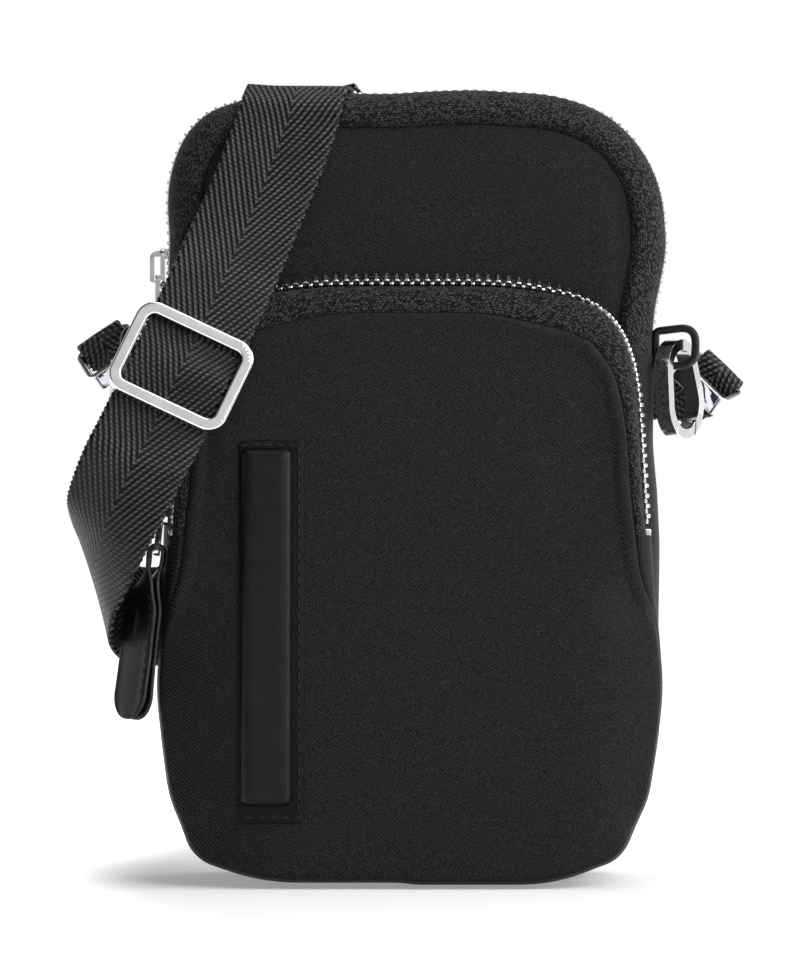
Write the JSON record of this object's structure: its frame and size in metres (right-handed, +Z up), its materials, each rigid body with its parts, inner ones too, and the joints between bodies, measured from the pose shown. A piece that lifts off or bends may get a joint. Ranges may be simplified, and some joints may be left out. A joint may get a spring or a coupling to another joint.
{
  "type": "phone pouch",
  "caption": "Upright crossbody pouch with an arched zip over the top, a zipped front pocket, a leather strip, and a webbing strap on snap hooks with a sliding adjuster.",
  "frame": {"origin": "middle of the main compartment's flat base, under the main zip", "axes": "+Z up, -Y to the front with the pocket, +X to the right seen from the front"},
  "size_m": [0.1704, 0.0774, 0.1973],
  "materials": {
    "shell_fabric": "fine black twill",
    "zip_tape": "knitted black zip tape",
    "lining": "thin plain-weave lining",
    "webbing": "herringbone webbing",
    "leather": "satin black leather",
    "zip_metal": "small polished teeth",
    "polished_metal": "polished nickel"
  },
  "bodies": {
    "pouch": {"back_panel": "shell_fabric", "front_panel": "shell_fabric", "side_gusset": "shell_fabric", "pocket_panel": "shell_fabric", "pocket_gusset": "shell_fabric", "main_tape_front": "zip_tape", "main_tape_back": "zip_tape", "pocket_tape_outer": "zip_tape", "pocket_tape_inner": "zip_tape", "main_lining": "lining", "pocket_lining": "lining", "strap_front": "webbing", "strap_loop": "webbing", "strap_hank": "webbing", "leather_patch": "leather", "leather_strip": "leather", "loop_left": "leather", "loop_right": "leather", "main_teeth_front": "zip_metal", "main_teeth_back": "zip_metal", "pocket_teeth_outer": "zip_metal", "pocket_teeth_inner": "zip_metal", "main_stops": "zip_metal", "pocket_stops": "zip_metal"},
    "main_slider": {"main_slider": "polished_metal"},
    "main_pull": {"main_pull": "polished_metal"},
    "pocket_slider": {"pocket_slider": "polished_metal"},
    "pocket_link": {"pocket_link": "polished_metal"},
    "pocket_puller": {"pocket_puller": "leather"},
    "adjuster": {"adjuster_frame": "polished_metal", "adjuster_bar": "polished_metal", "strap_bight": "webbing"},
    "hook_left": {"hook_left": "polished_metal"},
    "hook_right": {"hook_right": "polished_metal"},
    "gate_left": {"gate_left": "polished_metal"},
    "gate_right": {"gate_right": "polished_metal"},
    "eye_left": {"eye_left": "polished_metal", "strap_end_left": "webbing"},
    "eye_right": {"eye_right": "polished_metal", "strap_end_right": "webbing"}
  },
  "joints": [
    {"name": "main_zip", "type": "slide", "parent": "pouch", "child": "main_slider", "axis": [0, 0, 1], "range_m": [0, 0.008]},
    {"name": "main_pull_swing", "type": "hinge", "parent": "main_slider", "child": "main_pull", "pos_m": [-0.06305, 0, 0.1498], "axis": [0, 1, 0], "range_deg": [0, 115]},
    {"name": "pocket_zip", "type": "slide", "parent": "pouch", "child": "pocket_slider", "axis": [0.0549, 0.0602, 0.9967], "range_m": [0, 0.024]},
    {"name": "pocket_link_swing", "type": "hinge", "parent": "pocket_slider", "child": "pocket_link", "pos_m": [-0.06119, -0.02131, 0.09082], "axis": [0, 0.9982, -0.0603], "range_deg": [0, 92], "deforming": ["strap_loop"]},
    {"name": "puller_swing", "type": "hinge", "parent": "pocket_link", "child": "pocket_puller", "pos_m": [-0.06223, -0.0219, 0.08119], "axis": [0, 0.9982, -0.0603], "range_deg": [0, 12], "deforming": ["strap_loop"]},
    {"name": "strap_adjust", "type": "slide", "parent": "pouch", "child": "adjuster", "axis": [0.4089, 0.2791, 0.8689], "range_m": [-0.005, 0.008]},
    {"name": "hook_swing_right", "type": "hinge", "parent": "pouch", "child": "hook_right", "pos_m": [0.0665, -0.005, 0.1264], "axis": [0.848, -0.5299, 0], "range_deg": [-14, 26], "deforming": ["strap_end_right"]},
    {"name": "eye_turn_right", "type": "hinge", "parent": "hook_right", "child": "eye_right", "pos_m": [0.07226, 0.00421, 0.1221], "axis": [0.5142, 0.8229, 0.2419], "range_deg": [-30, 30], "deforming": ["strap_end_right"]},
    {"name": "gate_spring_right", "type": "hinge", "parent": "hook_right", "child": "gate_right", "pos_m": [0.06544, -0.00669, 0.11322], "axis": [0.848, -0.5299, 0], "range_deg": [0, 28], "stiffness_Nm_per_rad": 0.002},
    {"name": "hook_swing_left", "type": "hinge", "parent": "pouch", "child": "hook_left", "pos_m": [-0.0665, -0.005, 0.1264], "axis": [0.848, 0.5299, 0], "range_deg": [-38, 2], "deforming": ["strap_end_left"]},
    {"name": "eye_turn_left", "type": "hinge", "parent": "hook_left", "child": "eye_left", "pos_m": [-0.07269, 0.0049, 0.12689], "axis": [-0.4176, 0.6683, 0.6157], "range_deg": [-30, 30], "deforming": ["strap_end_left"]},
    {"name": "gate_spring_left", "type": "hinge", "parent": "hook_left", "child": "gate_left", "pos_m": [-0.06838, -0.002, 0.11355], "axis": [0.848, 0.5299, 0], "range_deg": [0, 28], "stiffness_Nm_per_rad": 0.002}
  ]
}
